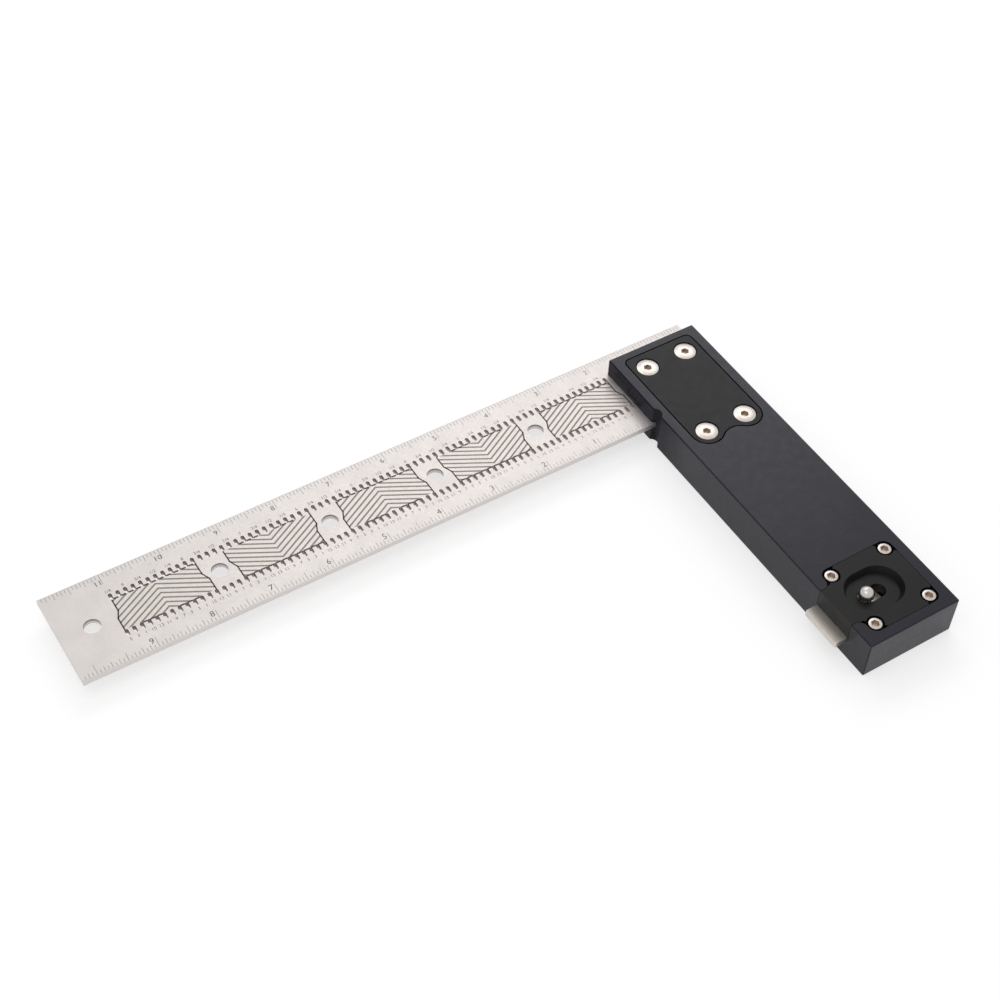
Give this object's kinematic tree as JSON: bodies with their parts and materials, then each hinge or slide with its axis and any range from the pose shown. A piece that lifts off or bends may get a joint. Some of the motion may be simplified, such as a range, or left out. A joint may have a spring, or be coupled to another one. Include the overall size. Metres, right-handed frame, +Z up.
{
  "type": "precision square",
  "caption": "Square for marking out: a graduated steel rule with rows of pencil slots, fixed at a right angle in a dark metal stock that has a sliding support lip.",
  "frame": {"origin": "middle of the stock's underside", "axes": "+X across the stock, from the fence face to the outer face, so the rule points to -X; +Y along the stock, towards the rule; +Z up, out of the face that carries the cover and the ball"},
  "size_m": [0.3048, 0.1873, 0.0209],
  "materials": {
    "stock": "black anodised, satin",
    "rule": "fine satin",
    "cover": "black anodised, matt",
    "screw": "bright, turned faces",
    "lip": "polished",
    "stud": "turned",
    "pin": "ground",
    "ball": "polished",
    "pad": "plain",
    "spring": "drawn wire"
  },
  "bodies": {
    "square": {"stock": "stock", "rule": "rule", "rule_cover": "cover", "cover_screw_1": "screw", "cover_screw_2": "screw", "cover_screw_3": "screw", "cover_screw_4": "screw", "rule_pin_1": "pin", "rule_pin_2": "pin", "lip_housing": "cover", "housing_screw_1": "screw", "housing_screw_2": "screw", "housing_screw_3": "screw", "housing_screw_4": "screw", "brake_pad_1": "pad", "brake_pad_2": "pad", "brake_spring_1": "spring", "brake_spring_2": "spring"},
    "lip": {"support_lip": "lip", "lip_stud": "stud", "lip_ball": "ball"}
  },
  "joints": [
    {"name": "lip_slide", "type": "slide", "parent": "square", "child": "lip", "axis": [1, 0, 0], "range_m": [0, 0.0058]}
  ]
}
